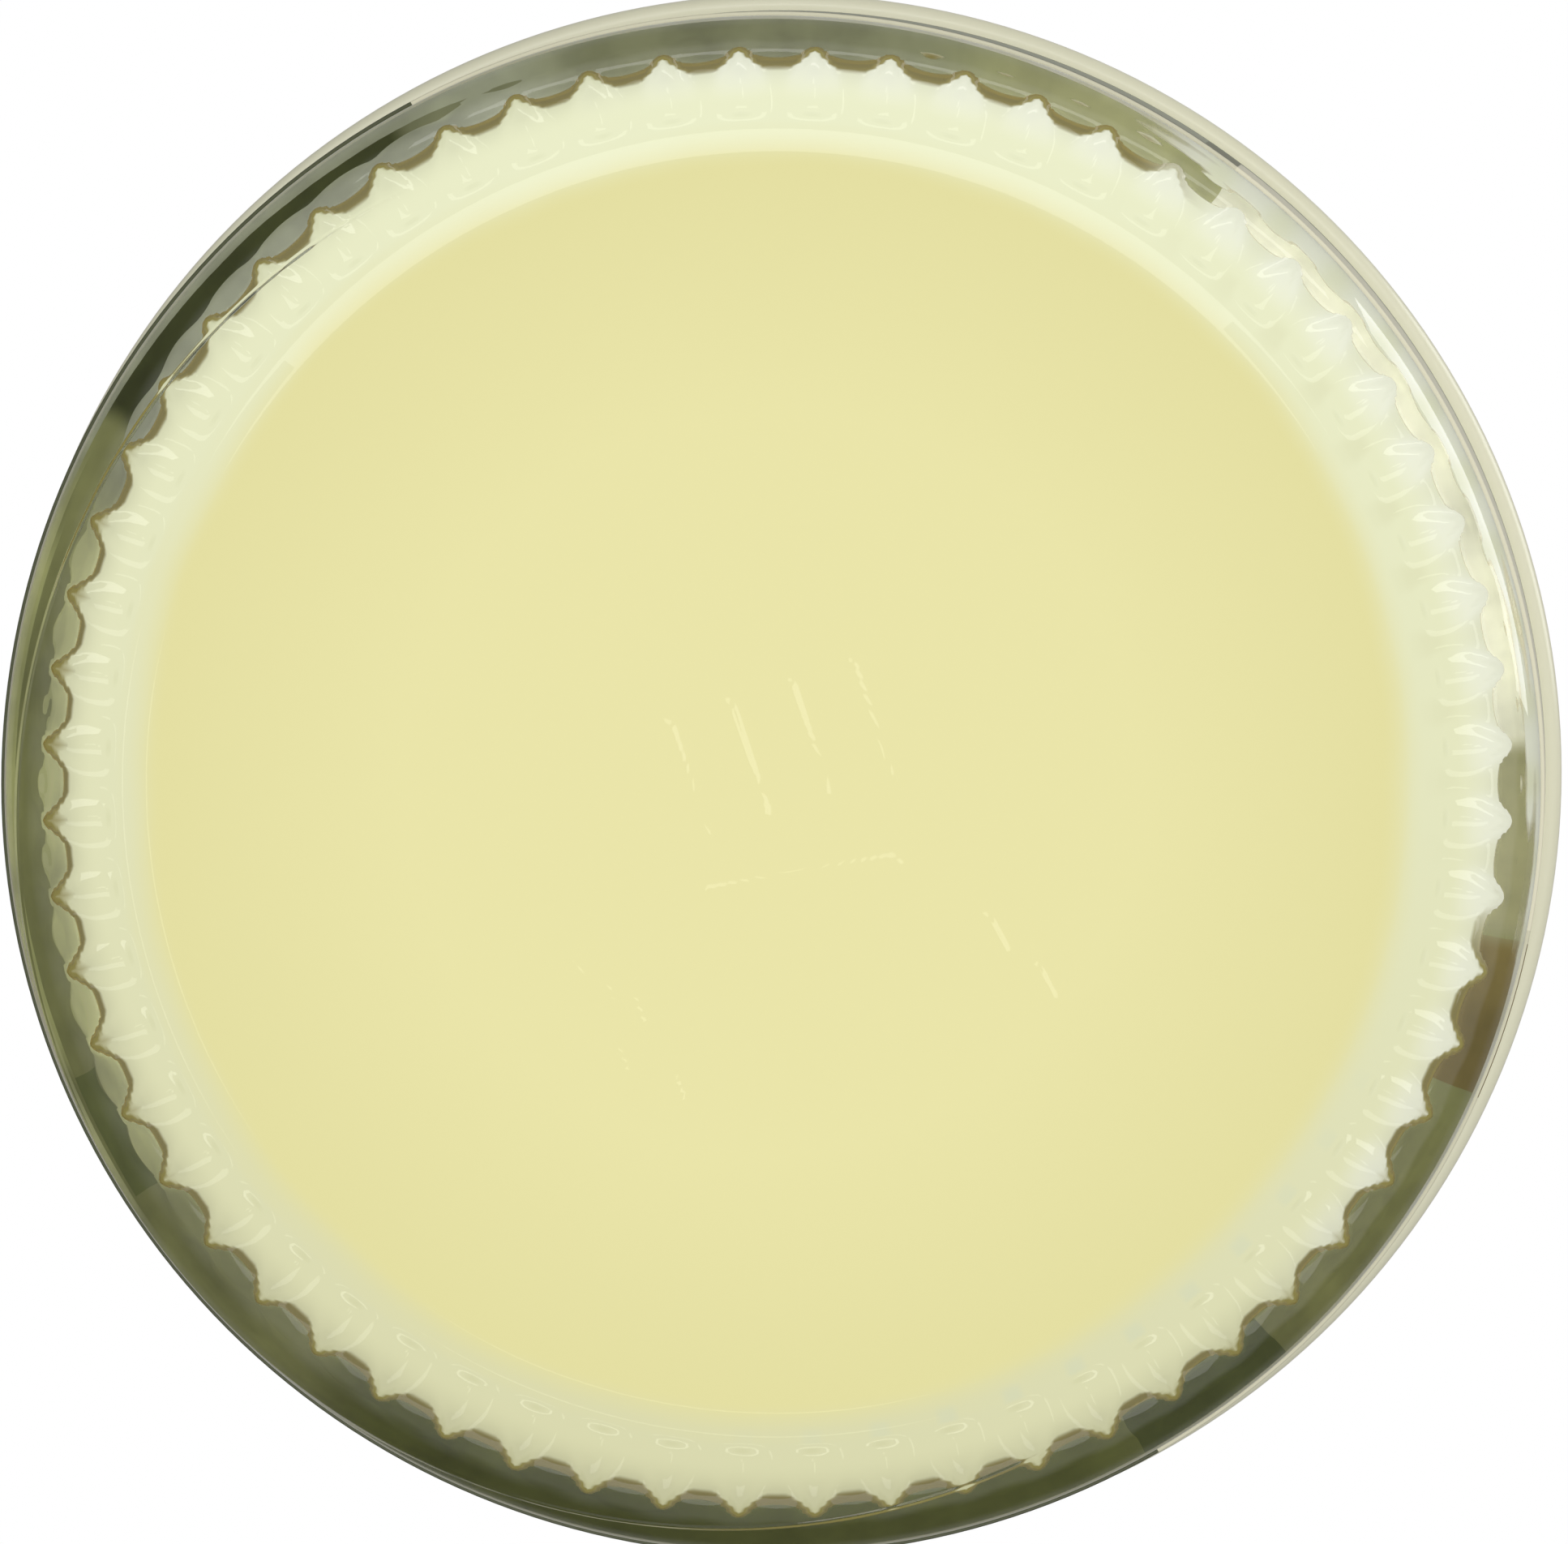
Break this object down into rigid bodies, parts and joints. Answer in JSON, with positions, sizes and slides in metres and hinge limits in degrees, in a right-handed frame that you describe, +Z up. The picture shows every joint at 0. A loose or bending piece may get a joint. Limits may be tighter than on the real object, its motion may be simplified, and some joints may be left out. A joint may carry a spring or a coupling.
{
  "type": "jar of clotted cream",
  "caption": "Squat round glass jar filled with clotted cream, knurled bearing ring and raised panel underneath, ivory metal twist lid, wrap-around film label.",
  "frame": {"origin": "centre of the circle the jar stands on, at the height of the rib crests", "axes": "+Z up along the jar's axis, -Y towards the front of the label, +X to the right seen from the front"},
  "size_m": [0.078, 0.078, 0.0525],
  "materials": {
    "clear_glass": "glossy moulded flint glass with a faint green edge tint",
    "clotted_cream": "soft satin pale yellow cream, whiter at the rim",
    "ivory_enamel": "semi-gloss ivory enamel on pressed tinplate",
    "printed_film": "printed film label, dark olive with ivory and brown fields"
  },
  "bodies": {
    "root": {"jar_glass": "clear_glass", "cream": "clotted_cream", "lid": "ivory_enamel", "label": "printed_film"}
  },
  "joints": []
}
